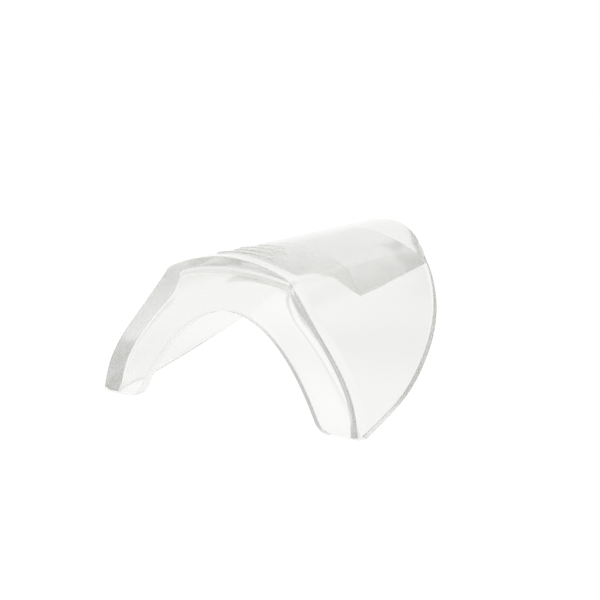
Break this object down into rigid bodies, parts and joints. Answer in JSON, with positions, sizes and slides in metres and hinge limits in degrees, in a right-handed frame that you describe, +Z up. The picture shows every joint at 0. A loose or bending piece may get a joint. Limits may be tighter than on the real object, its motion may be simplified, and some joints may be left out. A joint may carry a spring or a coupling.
{
  "type": "cheek retractor",
  "caption": "Clear hood-shaped cheek retractor with a flat arched front plate, a crowned roof over an inner wedge, and rounded side wings.",
  "frame": {"origin": "on the floor under the middle of the part, between the front plate and the back rim", "axes": "+X across the mouth towards the right wing, +Y from the front plate back towards the rim, +Z up from the feet"},
  "size_m": [0.06, 0.0438, 0.0327],
  "materials": {
    "clear_plastic": "clear moulded plastic, polished all over"
  },
  "bodies": {
    "root": {"front_plate": "clear_plastic", "roof": "clear_plastic", "left_wing": "clear_plastic", "right_wing": "clear_plastic", "roof_wedge": "clear_plastic", "marking_bar_1": "clear_plastic", "marking_bar_2": "clear_plastic", "marking_bar_3": "clear_plastic", "marking_bar_4": "clear_plastic"}
  },
  "joints": []
}
